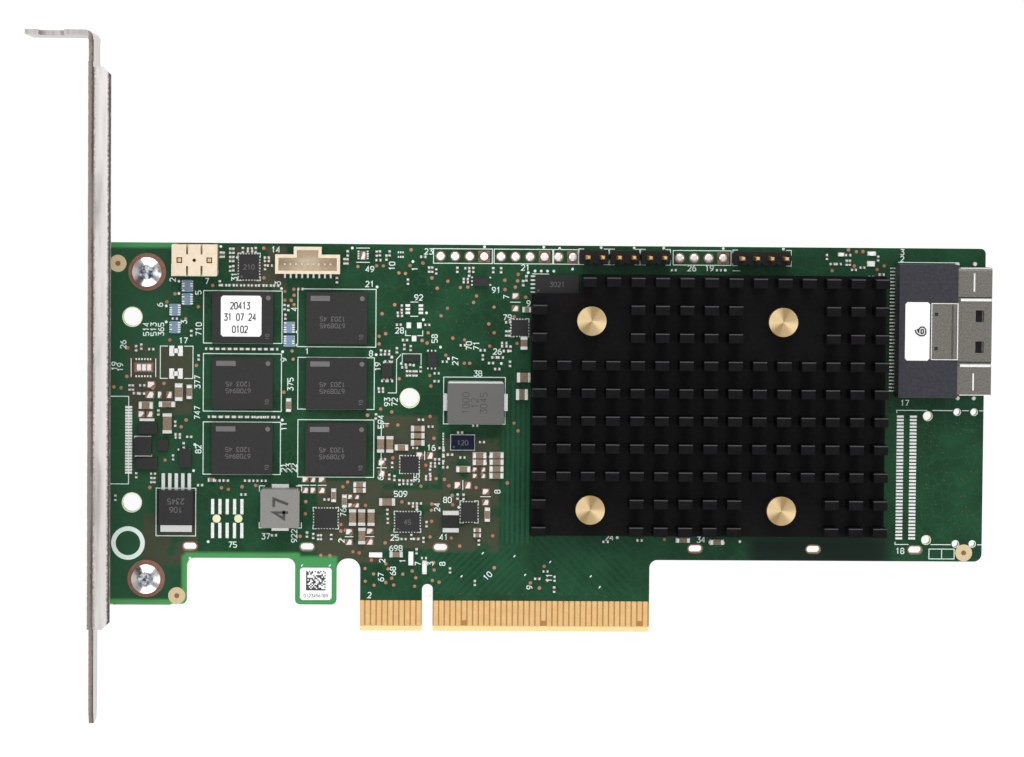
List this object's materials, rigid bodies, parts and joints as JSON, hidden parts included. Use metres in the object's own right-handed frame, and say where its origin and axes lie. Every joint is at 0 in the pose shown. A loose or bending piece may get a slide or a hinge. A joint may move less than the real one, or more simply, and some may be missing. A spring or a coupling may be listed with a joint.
{
  "type": "raid controller card",
  "caption": "Low-height storage controller board with a black pin-fin heat sink, a right-angle cable connector, gold edge contacts and a full-height steel bracket.",
  "frame": {"origin": "middle of the key notch at the tips of the edge connector, on the board's component face", "axes": "+X along the board away from the bracket, +Y from the edge contacts to the long top edge, +Z out of the component side"},
  "size_m": [0.168, 0.12, 0.0184],
  "materials": {
    "board_laminate": "solder mask, satin",
    "gold_plating": "plated, satin",
    "bracket_steel": "nickel plated, satin",
    "screw_steel": "plated, bright",
    "sink_black": "black anodised, satin",
    "pin_brass": "turned, satin",
    "spring_steel": "bright wire",
    "gap_pad": "matt",
    "lid_metal": "nickel plated, satin",
    "substrate_green": "satin",
    "chip_black": "moulded, matt",
    "label_white": "paper, matt",
    "connector_dark": "moulded, satin",
    "connector_metal": "tinned sheet, satin",
    "tin_plating": "tinned",
    "socket_cream": "moulded, satin",
    "header_black": "moulded, satin",
    "inductor_grey": "pressed powder, matt",
    "choke_black": "matt",
    "ceramic_brown": "ceramic, matt",
    "network_blue": "glazed",
    "fuse_white": "ceramic",
    "clock_blue": "ceramic, satin"
  },
  "bodies": {
    "root": {"circuit_board": "board_laminate", "edge_contacts_front": "gold_plating", "edge_contacts_back": "gold_plating", "bracket": "bracket_steel", "bracket_screws": "screw_steel", "heat_sink": "sink_black", "push_pins": "pin_brass", "push_pin_springs": "spring_steel", "thermal_pad": "gap_pad", "controller_lid": "lid_metal", "controller_substrate": "substrate_green", "memory_label": "label_white", "connector_label": "label_white", "serial_label": "label_white", "cable_connector_housing": "connector_dark", "cable_connector_shell": "connector_metal", "cable_connector_plate": "connector_metal", "cable_connector_leads": "tin_plating", "signal_socket_housing": "socket_cream", "signal_socket_leads": "tin_plating", "power_socket_housing": "socket_cream", "power_socket_contacts": "gold_plating", "header_pins": "gold_plating", "inductor_oblong": "inductor_grey", "inductor_square": "inductor_grey", "inductor_terminals": "tin_plating", "choke_body": "choke_black", "choke_ends": "tin_plating", "regulator_body": "chip_black", "regulator_metal": "tin_plating", "clock_module": "clock_blue", "corner_chip_body": "chip_black", "corner_chip_leads": "tin_plating", "ceramic_capacitors": "ceramic_brown", "ceramic_capacitor_ends": "tin_plating", "small_packages": "chip_black", "diodes": "chip_black", "resistor_networks": "network_blue", "fuses": "fuse_white", "memory_chip_1": "chip_black", "leadless_chip_1": "chip_black", "memory_chip_2": "chip_black", "leadless_chip_2": "chip_black", "memory_chip_3": "chip_black", "leadless_chip_3": "chip_black", "memory_chip_4": "chip_black", "leadless_chip_4": "chip_black", "memory_chip_5": "chip_black", "leadless_chip_5": "chip_black", "memory_chip_6": "chip_black", "leadless_chip_6": "chip_black", "jumper_base_1": "header_black", "jumper_base_2": "header_black", "jumper_base_3": "header_black", "jumper_base_4": "header_black"}
  },
  "joints": []
}
